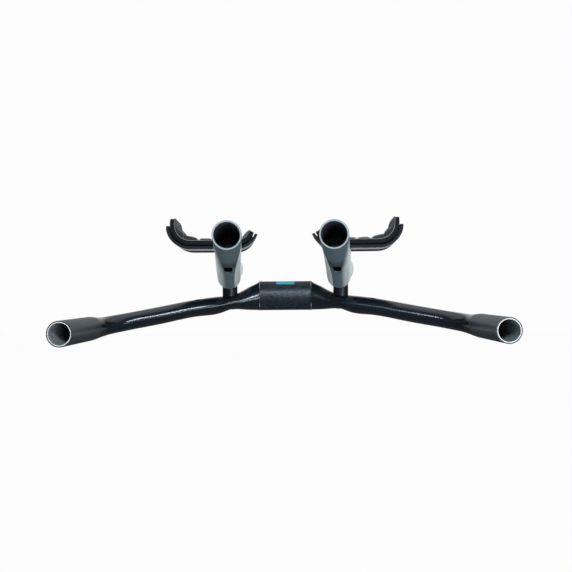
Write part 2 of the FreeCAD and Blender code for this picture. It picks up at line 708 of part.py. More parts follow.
# Check every object, then write one file per piece
for item in doc.Objects:
    state = "".join(item.State)
    if "Invalid" in state or "Error" in state:
        raise SystemExit(f"{item.Name} did not recompute: {state}")
os.makedirs("parts", exist_ok=True)
for node in nodes:
    if node.Shape.isNull() or not node.Shape.isValid():
        raise SystemExit(f"{node.Label} has no valid shape")
    node.Shape.exportStep(f"parts/{node.Label}.step")
    print(node.Label, len(node.Shape.Solids), round(node.Shape.Volume), node.Shape.BoundBox)
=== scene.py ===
# %% [markdown]
# # A time trial base bar, dressed in Blender
# The solid model comes first: it is loaded as a fixed frame, in metres, with the middle of the stem's
# clamp zone at the origin, the rider's left along +X, forward along -Y and up along +Z.
# Everything below gives that frame its paint, metal, foam and cloth.

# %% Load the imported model
import math
import bpy
import bmesh
from mathutils import Matrix, Vector


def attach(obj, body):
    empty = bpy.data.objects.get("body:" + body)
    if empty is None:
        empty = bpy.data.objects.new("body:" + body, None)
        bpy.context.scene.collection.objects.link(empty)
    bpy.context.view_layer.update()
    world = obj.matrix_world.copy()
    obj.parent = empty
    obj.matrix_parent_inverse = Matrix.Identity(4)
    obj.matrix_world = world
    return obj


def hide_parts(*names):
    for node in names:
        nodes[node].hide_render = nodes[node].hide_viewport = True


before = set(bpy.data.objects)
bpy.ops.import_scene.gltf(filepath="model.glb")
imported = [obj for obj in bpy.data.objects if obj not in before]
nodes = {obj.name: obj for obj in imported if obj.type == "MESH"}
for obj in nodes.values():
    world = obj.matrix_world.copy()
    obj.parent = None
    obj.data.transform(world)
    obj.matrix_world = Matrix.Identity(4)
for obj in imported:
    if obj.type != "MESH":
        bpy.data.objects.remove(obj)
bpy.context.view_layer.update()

SIDES = ("left", "right")

print("nodes:", len(nodes))

# %% [markdown]
# ## The camera
# The bar was photographed from straight ahead, a little under a metre away, with a normal lens and the
# camera level with the tubes. The camera stands slightly to one side, looks slightly past the middle,
# and is rolled by less than a degree, so the right side of the picture sits a little higher.

# %% Place the camera
EYE = (0.010, -0.860, 0.0106)
LOOK_ASIDE = math.radians(0.62)
ROLL = math.radians(-0.5)

lens = bpy.data.cameras.new("camera")
lens.sensor_width = 36.0
lens.lens = 49.0
lens.clip_start = 0.01
camera = bpy.data.objects.new("camera", lens)
bpy.context.scene.collection.objects.link(camera)
level = Matrix.Rotation(math.radians(90), 4, "X")
turned = Matrix.Rotation(LOOK_ASIDE, 4, "Z") @ level @ Matrix.Rotation(ROLL, 4, "Z")
camera.matrix_world = Matrix.Translation(EYE) @ turned
bpy.context.scene.camera = camera
bpy.context.scene.view_settings.view_transform = "Standard"
print("camera at", tuple(round(v, 3) for v in camera.location))

# %% [markdown]
# ## Values to calculate with
# Paint that changes along a bar needs some arithmetic on coordinates. Wiring it by hand is slow to read,
# so a small class wraps a socket and turns Python's operators into Math nodes.


# %% Sockets that can be added and compared
class Value:
    """An output of a node, in the tree that it belongs to."""

    def __init__(self, wiring, socket):
        self.wiring = wiring
        self.socket = socket

    def __add__(self, other):
        return self.wiring.math("ADD", self, other)

    def __sub__(self, other):
        return self.wiring.math("SUBTRACT", self, other)

    def __rsub__(self, other):
        return self.wiring.math("SUBTRACT", other, self)

    def __mul__(self, other):
        return self.wiring.math("MULTIPLY", self, other)

    def __gt__(self, other):
        return self.wiring.math("GREATER_THAN", self, other)

    def __lt__(self, other):
        return self.wiring.math("LESS_THAN", self, other)

    def __abs__(self):
        return self.wiring.math("ABSOLUTE", self)

    __radd__ = __add__
    __rmul__ = __mul__


print("values ready")

# %% [markdown]
# ## Trees wired by expressions
# One method adds any node: its settings come first, then the values or links of its sockets. The nodes
# that come up again and again get short names of their own: a Math node, a smooth step from 0 to 1, and
# the three kinds of rays that see the background.


# %% Any node by one method
class Wiring:
    """A node tree that is wired by expressions."""

    def __init__(self, tree):
        self.tree = tree

    def node(self, kind, settings=None, sockets=None, output=0):
        made = self.tree.nodes.new(kind)
        for name, value in (settings or {}).items():
            setattr(made, name, value)
        for name, value in (sockets or {}).items():
            self.feed(made.inputs[name], value)
        return Value(self, made.outputs[output])

    def feed(self, socket, value):
        if isinstance(value, Value):
            self.tree.links.new(value.socket, socket)
        else:
            socket.default_value = value

    def math(self, operation, *values):
        return self.node("ShaderNodeMath", {"operation": operation}, dict(enumerate(values)))

    def step(self, value, low, high):
        """0 below low and 1 above high, smooth in between."""
        return self.node("ShaderNodeMapRange", {"interpolation_type": "SMOOTHSTEP"},
                         {"Value": value, "From Min": low, "From Max": high})

    def rays(self):
        """1 for rays from the camera, for mirrored rays, and for rays that came through glass."""
        return [self.node("ShaderNodeLightPath", output=f"Is {kind} Ray")
                for kind in ("Camera", "Glossy", "Transmission")]


print("wiring ready")

# %% [markdown]
# ## Finishes
# A finish is a material whose main shader is fed by such values. What changes over a surface goes to its
# colour, roughness, metal share, coat or bump. What is the same everywhere, such as sheen, is a plain
# number on the shader.


# %% Materials by expressions
class Finish(Wiring):
    """A material whose main shader is fed by expressions."""

    def __init__(self, name, **constants):
        self.material = bpy.data.materials.new(name)
        self.material.use_nodes = True
        super().__init__(self.material.node_tree)
        self.shader = self.tree.nodes["Principled BSDF"]
        self.surface(**constants)

    def surface(self, **inputs):
        for name, value in inputs.items():
            self.feed(self.shader.inputs[name.replace("_", " ")], value)

    def place(self):
        """The three object coordinates, in metres."""
        spot = self.node("ShaderNodeTexCoord", output="Object")
        return [self.node("ShaderNodeSeparateXYZ", None, {0: spot}, axis) for axis in range(3)]

    def facing_down(self):
        """1 where the surface looks at the floor, 0 where it looks sideways or up."""
        outward = self.node("ShaderNodeTexCoord", output="Normal")
        upward = self.node("ShaderNodeSeparateXYZ", None, {0: outward}, 2)
        return self.step(-1 * upward, low=0.2, high=0.6)

    def mix(self, share, first, second):
        """A colour that goes from the first to the second as the share goes from 0 to 1."""
        colours = {6: first, 7: second}
        for place, colour in colours.items():
            if not isinstance(colour, Value):
                colours[place] = (*colour, 1.0)
        return self.node("ShaderNodeMix", {"data_type": "RGBA"}, {0: share, **colours}, 2)

    def noise(self, scale, detail=2.0, roughness=0.5):
        spot = self.node("ShaderNodeTexCoord", output="Object")
        return self.node("ShaderNodeTexNoise", None,
                         {"Vector": spot, "Scale": scale, "Detail": detail, "Roughness": roughness})

    def bump(self, height, strength, distance):
        return self.node("ShaderNodeBump", None,
                         {"Height": height, "Strength": strength, "Distance": distance})


def wear(node, finish):
    """Give a carried-over solid its finish."""
    slots = nodes[node].data.materials
    slots.clear()
    slots.append(finish.material)


print("finishes ready")

# %% [markdown]
# ## Zones of the bar
# One tube carries several finishes, so its zones come first, each as a value from 0 to 1. They could be
# painted by hand on an unwrapped mesh, but a rule on object coordinates stays sharp at any size. It reads
# the distance from the middle, the run round an elbow, and the distances from the axes of a horn and of a
# cable port. Both sides mirror each other, so X counts without its sign.

# %% Find the zones
BLUISH = (0.70, 0.86, 1.0, 1.0)
CLAMP_HALF = 0.028
CLAMP_BORDER = (CLAMP_HALF - 0.0001, CLAMP_HALF + 0.0001)
FIELD_HALF = 0.0099
FIELD_LOW = 0.0126
ELBOW = Vector((0.183, -0.045))
ELBOW_HEADING = Vector((0.63, -0.77))
HORN_BORDER = (0.026, 0.034)
LACQUER_END = (-0.012, 0.008)
HORN_TIP = Vector((0.2, -0.169, -0.0305))
HORN_AXIS = Vector((0.0540788, -0.9985367, 0.0))
END_DEPTH = 0.0003
END_RADIUS = 0.0109
HORN_BORE_DEPTH = 0.10
HORN_BORE_RADIUS = 0.0107
PORT = Vector((0.094, -0.015967, -0.0122))
PORT_TILT = math.radians(32)
PORT_RADIUS = 0.00378
PORT_RIM = 0.0009

bar = Finish("bar_paint", Coat_Roughness=0.2, Specular_IOR_Level=0.55, Specular_Tint=BLUISH)
x, y, z = bar.place()
aside = abs(x)
clamp = 1 - bar.step(aside, *CLAMP_BORDER)
field = clamp * (aside < FIELD_HALF) * (z > FIELD_LOW)
elbow_run = (aside - ELBOW.x) * ELBOW_HEADING.x + (y - ELBOW.y) * ELBOW_HEADING.y
horn = bar.step(elbow_run, *HORN_BORDER)
lacquer = (1 - clamp) * (1 - bar.step(elbow_run, *LACQUER_END))

along = (aside - HORN_TIP.x) * HORN_AXIS.x + (y - HORN_TIP.y) * HORN_AXIS.y
across = (aside - HORN_TIP.x) * -HORN_AXIS.y + (y - HORN_TIP.y) * HORN_AXIS.x
rise = z - HORN_TIP.z
from_axis = bar.math("SQRT", across * across + rise * rise)
end_face = (along > -END_DEPTH) * (from_axis < END_RADIUS)
bore = (along > -HORN_BORE_DEPTH) * (from_axis < HORN_BORE_RADIUS)

beside = aside - PORT.x
lean = (y - PORT.y) * math.cos(PORT_TILT) + (z - PORT.z) * math.sin(PORT_TILT)
from_port = bar.math("SQRT", beside * beside + lean * lean)
# A lighter grey ring is painted round the upper half of each cable port's rim.
port_rim = (from_port > PORT_RADIUS) * (from_port < PORT_RADIUS + PORT_RIM) * (z > PORT.z)
print("zones of the bar found")

# %% [markdown]
# ## The bar's paint
# The wings are glossy black under a thin lacquer. The stem's clamp zone is matte and speckled, so that the
# stem grips it, and the horns are a matte blue-grey where tape and grips go. The saw-cut ends of the horns
# are bare metal, and a plain blue field lies on the clamp zone. A broken pale line at each end of that zone
# is a painted highlight, for the light on the edge of the shoulder step, and a lighter grey ring is painted
# round the upper half of each cable port. Two noises keep the large zones from looking like one flat colour.

# %% Paint the bar
GLOSS_BLACK = ((0.003, 0.0055, 0.009), (0.005, 0.009, 0.014))
CLAMP_BLACK = ((0.003, 0.006, 0.010), (0.013, 0.020, 0.027))
HORN_GREY = ((0.014, 0.024, 0.032), (0.030, 0.044, 0.056))
BORE_GREY = ((0.15, 0.19, 0.205), (0.23, 0.28, 0.30))
# Pale grey of the painted highlight on the edge of the shoulder step, at the clamp zone's ends.
SHOULDER_HIGHLIGHT_GREY = (0.27, 0.31, 0.35)
FIELD_BLUE = (0.006, 0.34, 0.44)
RIM_GREY = (0.12, 0.145, 0.16)
END_METAL = (0.62, 0.64, 0.65)

grain = bar.noise(scale=520.0, detail=3.0, roughness=0.6)
mottle = bar.step(grain, low=0.36, high=0.64)
patina = bar.noise(scale=160.0, detail=3.0)
# Painted highlight: a broken pale line at each end of the clamp zone, above and below its middle height.
clamp_end = 1 - bar.step(abs(aside - CLAMP_HALF), low=0.0002, high=0.0005)
shoulder_highlight = clamp_end * bar.step(patina, low=0.38, high=0.55) * bar.step(abs(z), low=0.006, high=0.011)

colour = bar.mix(clamp, bar.mix(patina, *GLOSS_BLACK), bar.mix(mottle, *CLAMP_BLACK))
colour = bar.mix(horn, colour, bar.mix(patina, *HORN_GREY))
colour = bar.mix(shoulder_highlight, colour, SHOULDER_HIGHLIGHT_GREY)
colour = bar.mix(field, colour, FIELD_BLUE)
colour = bar.mix(port_rim, colour, RIM_GREY)
colour = bar.mix(bore, colour, bar.mix(patina, *BORE_GREY))
colour = bar.mix(end_face, colour, END_METAL)
rough = 0.22 + clamp * (0.05 + mottle * 0.20) + horn * 0.19 + patina * 0.05 + end_face * 0.1
speckle = grain * (clamp - field * 0.8 + horn * 0.25)
bar.surface(Base_Color=colour, Roughness=rough, Metallic=end_face * 0.2, Coat_Weight=lacquer * 0.3,
            Normal=bar.bump(speckle, strength=0.9, distance=0.0005))
wear("base_bar", bar)
print("bar painted with", len(bar.tree.nodes), "nodes")

# %% [markdown]
# ## Posts, clamps and bolts
# The posts are black anodised tubes, the clamps a pale satin, the bolts steel and the rear plugs black
# plastic. Each has a little grain in its colour, roughness and bump, because a perfectly even surface
# looks like a toy's. One function makes all four.


# %% Metals and plugs
def grained(name, dark, light, rough, grain_scale, metallic=0.0, bump=0.12, **constants):
    finish = Finish(name, **constants)
    grain = finish.noise(grain_scale, detail=3.0, roughness=0.6)
    cloud = finish.noise(scale=70.0)
    finish.surface(Base_Color=finish.mix(cloud * 0.5 + grain * 0.5, dark, light),
                   Roughness=rough + (grain - 0.5) * 0.16, Metallic=metallic,
                   Normal=finish.bump(grain, bump, distance=0.0002))
    return finish


post_black = grained("post_black", (0.003, 0.006, 0.010), (0.008, 0.012, 0.018), rough=0.4,
                     grain_scale=900.0, Specular_Tint=BLUISH)
clamp_silver = grained("clamp_silver", (0.33, 0.38, 0.39), (0.41, 0.46, 0.47), rough=0.55,
                       grain_scale=1400.0, metallic=0.3, Specular_IOR_Level=0.2)
bolt_steel = grained("bolt_steel", (0.22, 0.23, 0.25), (0.36, 0.37, 0.39), rough=0.32,
                     grain_scale=1100.0, metallic=1.0)
plug_black = grained("plug_black", (0.010, 0.010, 0.011), (0.022, 0.022, 0.024), rough=0.7,
                     grain_scale=700.0, bump=0.3)
for side in SIDES:
    wear(f"{side}_riser_post", post_black)
    wear(f"{side}_extension_clamp", clamp_silver)
    for piece in ("riser_bolt", "riser_washer", "pinch_bolts", "armrest_screws"):
        wear(f"{side}_{piece}", bolt_steel)
    wear(f"{side}_rear_plug", plug_black)
print("posts, clamps, bolts and plugs set")

# %% [markdown]
# ## The extensions
# The bent tubes are anodised, with a dark blue-grey strip along the middle that widens towards the tip, and
# pale satin flanks on both sides of it. The flanks are smoother and partly metal, and their pale colour is a
# painted reflection of the pale room. The strip's border is sharp on the inner side and soft on the outer
# side. The bores are dark, the cut edge at each tip is a thin grey ring, and a painted shade darkens the
# underside by the cable slot. The arms toe in, so places on them are measured outward from an arm's middle
# line and rearward along it. That is the same on both arms, so one material serves both.

# %% Places along an arm
TOE_IN = math.radians(4.3)
ARM_ORIGIN = Vector((0.0605, -0.0086, 0.0))


def arm_place(x, y):
    """Outward from the arm's middle line, and rearward along it, the same on both arms."""
    outward = abs(x) - ARM_ORIGIN.x
    rearward = y - ARM_ORIGIN.y
    return (outward * math.cos(TOE_IN) - rearward * math.sin(TOE_IN),
            outward * math.sin(TOE_IN) + rearward * math.cos(TOE_IN))


print("arms start at", tuple(round(v, 4) for v in ARM_ORIGIN))

# %% [markdown]
# ## Strip, flanks and bore
# The tip's place and heading are known, so the bore and the cut edge are found by the distance from the
# tip's axis. The strip and its flanks, with their painted reflection, could be two objects, but they are one
# tube, so they are a mask.

# %% Anodise the tubes
TUBE_TIP = Vector((0.0394329, -0.2887833, 0.0483478))
TUBE_AXIS = Vector((-0.0745680, -0.9917224, 0.1045285))
TUBE_BORE_RADIUS = 0.0103
TUBE_BORE_DEPTH = 0.070
EDGE_DEPTH = 0.00012
EDGE_INNER = 0.0100
EDGE_OUTER = 0.0108
STRIP_HALF = 0.0054
STRIP_FLARE = 0.0057
FLARE_RUN = (0.15, 0.265)
# Where the painted reflection on the flanks ends towards the rear.
PAINTED_REFLECTION_END = (0.25, 0.27)
SHARP_BORDER = (-0.0003, 0.0003)
SOFT_BORDER = (-0.003, 0.003)
# The run along the arm where a painted shade darkens the underside, by the cable slot.
PAINTED_SHADE_START = (-0.216, -0.196)
PAINTED_SHADE_END = (-0.190, -0.180)
STRIP_DARK = ((0.064, 0.100, 0.127), (0.092, 0.135, 0.164))
# Pale colour of the painted reflection on the flanks.
PAINTED_REFLECTION_PALE = ((0.62, 0.69, 0.71), (0.70, 0.77, 0.79))
# Darkest colour of the painted shade under the tube.
PAINTED_SHADE_DARK = (0.014, 0.024, 0.036)
BORE_DARK = (0.055, 0.062, 0.078)
EDGE_GREY = (0.24, 0.29, 0.32)

tube = Finish("extension_grey", Specular_IOR_Level=0.25, Specular_Tint=BLUISH)
x, y, z = tube.place()
dx = abs(x) - TUBE_TIP.x
dy = y - TUBE_TIP.y
dz = z - TUBE_TIP.z
along = dx * TUBE_AXIS.x + dy * TUBE_AXIS.y + dz * TUBE_AXIS.z
from_tip = dx * dx + dy * dy + dz * dz
from_axis = tube.math("SQRT", from_tip - along * along)
bore = (from_axis < TUBE_BORE_RADIUS) * (along > -TUBE_BORE_DEPTH)
edge = (along > -EDGE_DEPTH) * (from_axis > EDGE_INNER) * (from_axis < EDGE_OUTER)

aside, run = arm_place(x, y)
ahead = run * -1
wide = STRIP_HALF + tube.step(ahead, *FLARE_RUN) * STRIP_FLARE
# The flanks beside the strip carry a painted reflection of the pale room.
inner_painted_reflection = tube.step(-1 * aside - wide, *SHARP_BORDER)
outer_painted_reflection = tube.step(aside - wide, *SOFT_BORDER)
painted_reflection = tube.math("MAXIMUM", inner_painted_reflection, outer_painted_reflection) * (1 - tube.step(ahead, *PAINTED_REFLECTION_END))
# Painted shade on the underside, by the cable slot.
painted_shade_run = tube.step(run, *PAINTED_SHADE_START) * (1 - tube.step(run, *PAINTED_SHADE_END))
painted_shade = painted_shade_run * tube.facing_down()

fine = tube.noise(scale=1500.0, roughness=0.6)
cloud = tube.noise(scale=45.0)
skin = tube.mix(cloud * 0.6 + fine * 0.4, *STRIP_DARK)
# Mix in the painted shade, then the painted reflection on the flanks.
skin = tube.mix(painted_shade * 0.7, skin, PAINTED_SHADE_DARK)
skin = tube.mix(painted_reflection, skin, tube.mix(fine, *PAINTED_REFLECTION_PALE))
skin = tube.mix(bore, skin, BORE_DARK)
skin = tube.mix(edge, skin, EDGE_GREY)
tube.surface(Base_Color=skin, Roughness=0.62 - painted_reflection * 0.26 + (fine - 0.5) * 0.12 + bore * 0.15,
             Metallic=painted_reflection * (1 - bore) * 0.35, Normal=tube.bump(fine, strength=0.08, distance=0.0002))
for side in SIDES:
    wear(f"{side}_extension", tube)
print("extensions set with", len(tube.tree.nodes), "nodes")

# %% [markdown]
# ## The cups
# Each armrest sits in a curled shell of dark moulded plastic. The front half of its underside is smooth,
# and from ahead it is seen at so low an angle that it mirrors the pale room as a light line under the pad.
# Its rear half, where it sits on the clamp, and its sawn edges are matte. A thin loop layer holds the pad.

# %% Moulded shells
CUP_MIDDLE = 0.020
CUP_HALF = 0.044
POLISH_END = (CUP_MIDDLE - 0.006, CUP_MIDDLE + 0.006)
SAWN_DEPTH = 0.00025

cup = Finish("cup_shell", Specular_Tint=BLUISH)
x, y, z = cup.place()
aside, run = arm_place(x, y)
polished = (1 - cup.step(run, *POLISH_END)) * cup.facing_down()
sawn = abs(run - CUP_MIDDLE) > CUP_HALF - SAWN_DEPTH
pebble = cup.noise(scale=1300.0, roughness=0.55)
cup.surface(Base_Color=cup.mix(pebble, (0.005, 0.007, 0.010), (0.012, 0.015, 0.019)),
            Roughness=0.88 - polished * (1 - sawn) * 0.62 + (pebble - 0.5) * 0.1,
            Normal=cup.bump(pebble * (1 - polished), strength=0.2, distance=0.0002))
loop = Finish("loop_layer", Roughness=0.95)
tuft = loop.noise(scale=1700.0, roughness=0.7)
loop.surface(Base_Color=loop.mix(tuft, (0.006, 0.006, 0.007), (0.022, 0.022, 0.024)),
             Normal=loop.bump(tuft, strength=0.8, distance=0.0006))
for side in SIDES:
    wear(f"{side}_armrest_cup", cup)
    wear(f"{side}_hook_and_loop", loop)
print("cups and loop layers set")

# %% [markdown]
# ## The line that the armrests follow
# Cup, loop layer and pad are layers of one curled strip: a short lip and a curl on the inner side, a flat
# floor, then a larger curl and a lip on the outer side. A place on the pad is given by its run along that
# strip, its reach along the forearm, and its height over the pad's middle layer.

# %% Places on the curled strip
SEAT = 0.0505
FLAT_START = 0.0520 - ARM_ORIGIN.x
FLAT_END = 0.1022 - ARM_ORIGIN.x
INNER_CURL = 0.022
OUTER_CURL = 0.026
INNER_TURN = math.radians(62)
OUTER_TURN = math.radians(86)
INNER_LIP = 0.006
OUTER_LIP = 0.0095
PAD_MIDDLE = 0.0086
PAD_HALF_LENGTH = 0.042
PAD_CORNER = 0.018

inner_arc = (INNER_CURL - PAD_MIDDLE) * INNER_TURN
outer_arc = (OUTER_CURL - PAD_MIDDLE) * OUTER_TURN
floor_run = INNER_LIP + inner_arc
curl_run = floor_run + FLAT_END - FLAT_START
PAD_RUN = curl_run + outer_arc + OUTER_LIP


def on_strip(run):
    """Place (x, z) and upward direction on the middle layer."""
    if run < floor_run:
        turn = INNER_TURN * min(1.0, (floor_run - run) / inner_arc)
        past = max(0.0, INNER_LIP - run)
        radius = INNER_CURL - PAD_MIDDLE
        x = FLAT_START - radius * math.sin(turn) - past * math.cos(turn)
        z = SEAT + INNER_CURL - radius * math.cos(turn) + past * math.sin(turn)
        return x, z, math.sin(turn), math.cos(turn)
    if run < curl_run:
        return FLAT_START + run - floor_run, SEAT + PAD_MIDDLE, 0.0, 1.0
    turn = OUTER_TURN * min(1.0, (run - curl_run) / outer_arc)
    past = max(0.0, run - curl_run - outer_arc)
    radius = OUTER_CURL - PAD_MIDDLE
    x = FLAT_END + radius * math.sin(turn) + past * math.cos(turn)
    z = SEAT + OUTER_CURL - radius * math.cos(turn) + past * math.sin(turn)
    return x, z, -math.sin(turn), math.cos(turn)


def in_frame(run, reach, height):
    """The place in the frame, on the left armrest."""
    x, z, lean, rise = on_strip(run)
    x += lean * height
    y = CUP_MIDDLE + reach
    return Vector((ARM_ORIGIN.x + x * math.cos(TOE_IN) + y * math.sin(TOE_IN),
                   ARM_ORIGIN.y - x * math.sin(TOE_IN) + y * math.cos(TOE_IN), z + rise * height))


def half_reach(run, inset=0.0):
    """Half of the pad's length at a run, with rounded corners, for an outline drawn in by the inset."""
    near = min(run - inset, PAD_RUN - inset - run)
    half = PAD_HALF_LENGTH - inset
    corner = PAD_CORNER - inset
    if near >= corner:
        return half
    return half - corner + math.sqrt(max(0.0, corner ** 2 - (corner - near) ** 2))


print("strip is", round(PAD_RUN * 1000, 1), "mm from lip to lip")

# %% [markdown]
# ## A slab that follows the strip
# Foam and cover are both slabs with a rounded outline. A slab could be a curve with a bevel, but its top
# needs relief, so it is built from two grids, joined by a few rings of wall that round its edges.

# %% Grids and walls
ROWS = 108
COLUMNS = 58

RIM = [(0, column) for column in range(COLUMNS + 1)]
RIM += [(row, COLUMNS) for row in range(1, ROWS + 1)]
RIM += [(ROWS, column) for column in range(COLUMNS - 1, -1, -1)]
RIM += [(row, 0) for row in range(ROWS - 1, 0, -1)]


def flat(run, reach):
    return 0.0


def slab_mesh(name, levels, relief=flat):
    """A closed slab. Its levels are (height, inset) from bottom to top, and relief is added to its top."""
    mesh = bmesh.new()

    def point(row, column, height, inset, added=flat):
        run = inset + (PAD_RUN - 2 * inset) * row / ROWS
        reach = half_reach(run, inset) * (2 * column / COLUMNS - 1)
        return mesh.verts.new(in_frame(run, reach, height + added(run, reach)))

    def sheet(height, inset, added):
        return [[point(row, column, height, inset, added) for column in range(COLUMNS + 1)]
                for row in range(ROWS + 1)]

    bottom = sheet(*levels[0], flat)
    top = sheet(*levels[-1], relief)
    for grid, outward in ((bottom, -1), (top, 1)):
        for near, far in zip(grid, grid[1:]):
            for column in range(COLUMNS):
                corners = [near[column], far[column], far[column + 1], near[column + 1]]
                mesh.faces.new(corners[::outward])
    rings = [[bottom[row][column] for row, column in RIM]]
    rings += [[point(row, column, *level) for row, column in RIM] for level in levels[1:-1]]
    rings += [[top[row][column] for row, column in RIM]]
    for low, high in zip(rings, rings[1:]):
        for place in range(len(RIM)):
            after = (place + 1) % len(RIM)
            mesh.faces.new([low[place], low[after], high[after], high[place]])
    bmesh.ops.recalc_face_normals(mesh, faces=mesh.faces)
    data = bpy.data.meshes.new(name)
    mesh.to_mesh(data)
    mesh.free()
    data.shade_smooth()
    return data


def placed(name, data, finish=None):
    """A new object at the origin."""
    made = bpy.data.objects.new(name, data)
    bpy.context.scene.collection.objects.link(made)
    if finish:
        data.materials.clear()
        data.materials.append(finish.material)
    return made


print("a slab has", ROWS, "by", COLUMNS, "squares on each face")

# %% [markdown]
# ## The pads: foam below
# The lower layer is plain black foam, cut to a rounded outline. Its sides are pulled in slightly between
# its upper and lower edges, as cut foam is where glue holds its faces, so each level has its own inset.

# %% Cut the foam
FOAM_LEVELS = [(-0.0042, 0.0012), (-0.0039, 0.0003), (-0.0030, 0.0), (-0.0017, 0.0005),
               (-0.0004, 0.0002), (0.0004, 0.0004), (0.0007, 0.0012)]
foam_data = slab_mesh("foam_base", FOAM_LEVELS)
print("foam faces:", len(foam_data.polygons))

# %% [markdown]
# ## The pads: cover on top
# The upper layer is soft, napped cloth over thin foam, sewn down in channels, so it stands up in blocks.
# Here the cover starts with low blocks, which are fuller in the outer curl, where the forearm leans.

# %% Lay out the cover
CHANNELS = (0.0155, 0.0320, 0.0470, 0.0620, 0.0791)
CHANNEL_SLOPE = 0.0030
RIM_SLOPE = 0.0035
BLOCK_RISE = 0.0017
CURL_FILL = 0.0030
CURL_RUN = 0.080
CURL_HALF = 0.024
COVER_LEVELS = [(0.0009, 0.0006), (0.0010, 0.0001), (0.0011, 0.0003)]


def softened(share):
    """From 0 to 1 with a soft start and a soft end."""
    share = max(0.0, min(1.0, share))
    return share * share * (3 - 2 * share)


def to_channel(run):
    return min(abs(run - channel) for channel in CHANNELS)


def block_height(run, reach):
    to_end = min(run, PAD_RUN - run)
    to_side = half_reach(run) - abs(reach)
    rise = BLOCK_RISE + CURL_FILL * softened(1 - abs(run - CURL_RUN) / CURL_HALF)
    return rise * softened(to_channel(run) / CHANNEL_SLOPE) * softened(min(to_end, to_side) / RIM_SLOPE)


cover_data = slab_mesh("cover_start", COVER_LEVELS, block_height)
print("cover faces:", len(cover_data.polygons))

# %% [markdown]
# ## Blow up the cover
# Blocks carved by hand look stiff. So the cover's channels, rim and underside are held, and the cloth
# solver blows up the rest like a quilt. A cap limits how far any point may move.

# %% Swell the blocks
SHEET_POINTS = (ROWS + 1) * (COLUMNS + 1)
STITCH_HALF = 0.0006
COVER_CAP = 0.0016
LAST_MOMENT = 20
CLOTH = {"vertex_group_mass": "held", "quality": 6, "mass": 0.15, "tension_stiffness": 12.0,
         "compression_stiffness": 12.0, "bending_stiffness": 0.05, "use_pressure": True,
         "uniform_pressure_force": 4.0}


def is_loose(place):
    """Whether a point of the cover lies on its top, away from rim and channels."""
    row, column = divmod(place - SHEET_POINTS, COLUMNS + 1)
    on_top = SHEET_POINTS <= place < 2 * SHEET_POINTS
    inside = 1 < row < ROWS - 1 and 1 < column < COLUMNS - 1
    return on_top and inside and to_channel(PAD_RUN * row / ROWS) >= STITCH_HALF


def swollen(data):
    """The mesh after the cloth solver has blown it up, with no point moved past the cap."""
    before = [vertex.co.copy() for vertex in data.vertices]
    cloth_piece = placed("cover_cloth", data)
    held = cloth_piece.vertex_groups.new(name="held")
    held.add([place for place in range(len(before)) if not is_loose(place)], 1.0, "REPLACE")
    cloth = cloth_piece.modifiers.new("cloth", "CLOTH")
    for setting, value in CLOTH.items():
        setattr(cloth.settings, setting, value)
    cloth.settings.effector_weights.gravity = 0.0
    cloth.collision_settings.use_collision = False
    for moment in range(1, LAST_MOMENT + 1):
        bpy.context.scene.frame_set(moment)
    solved = cloth_piece.evaluated_get(bpy.context.evaluated_depsgraph_get())
    result = bpy.data.meshes.new_from_object(solved)
    bpy.context.scene.frame_set(1)
    bpy.data.objects.remove(cloth_piece)
    furthest = 0.0
    for vertex, origin in zip(result.vertices, before):
        move = vertex.co - origin
        furthest = max(furthest, move.length)
        if move.length > COVER_CAP:
            vertex.co = origin + move * (COVER_CAP / move.length)
    print("cover moved up to", round(furthest * 1000, 2), "mm before the cap")
    result.shade_smooth()
    return result


cover_data = swollen(cover_data)
print("cover points:", len(cover_data.vertices))

# %% [markdown]
# ## Cloth, foam and piping
# The nap catches light at a low angle, which sheen gives, and its pile lies this way and that, which a
# noise in the colour and a bump give. The foam is dull, with fine open cells. A thin grey piping covers
# the joint between the two.

# %% Soft finishes
napped = Finish("pad_nap", Roughness=0.95, Sheen_Weight=0.3, Sheen_Roughness=0.45,
                Sheen_Tint=(0.75, 0.82, 0.9, 1.0))
pile = napped.noise(scale=1500.0, detail=3.0, roughness=0.65)
lay = napped.noise(scale=170.0)
napped.surface(Base_Color=napped.mix(pile * 0.6 + lay * 0.4, (0.006, 0.007, 0.008), (0.026, 0.029, 0.033)),
               Normal=napped.bump(pile, strength=0.7, distance=0.0006))
foam = Finish("pad_foam", Roughness=0.92, Specular_IOR_Level=0.15)
cells = foam.node("ShaderNodeTexVoronoi", None,
                  {"Vector": foam.node("ShaderNodeTexCoord", output="Object"), "Scale": 1900.0})
foam.surface(Base_Color=foam.mix(cells, (0.003, 0.004, 0.006), (0.014, 0.017, 0.021)),
             Normal=foam.bump(cells, strength=0.5, distance=0.0004))
piping_grey = Finish("pad_piping", Roughness=0.8)
twist = piping_grey.noise(scale=2400.0)
piping_grey.surface(Base_Color=piping_grey.mix(twist, (0.10, 0.11, 0.12), (0.24, 0.26, 0.27)),
                    Normal=piping_grey.bump(twist, strength=0.5, distance=0.0002))
print("soft finishes:", napped.material.name, foam.material.name, piping_grey.material.name)

# %% [markdown]
# ## Geometry trees
# Piping follows a path, and nap repeats one short fibre thousands of times, so both are grown by geometry
# nodes. A tree has named inputs for its sizes. It ends by turning instances into real faces and giving
# them a finish, and its result is kept as a plain mesh.


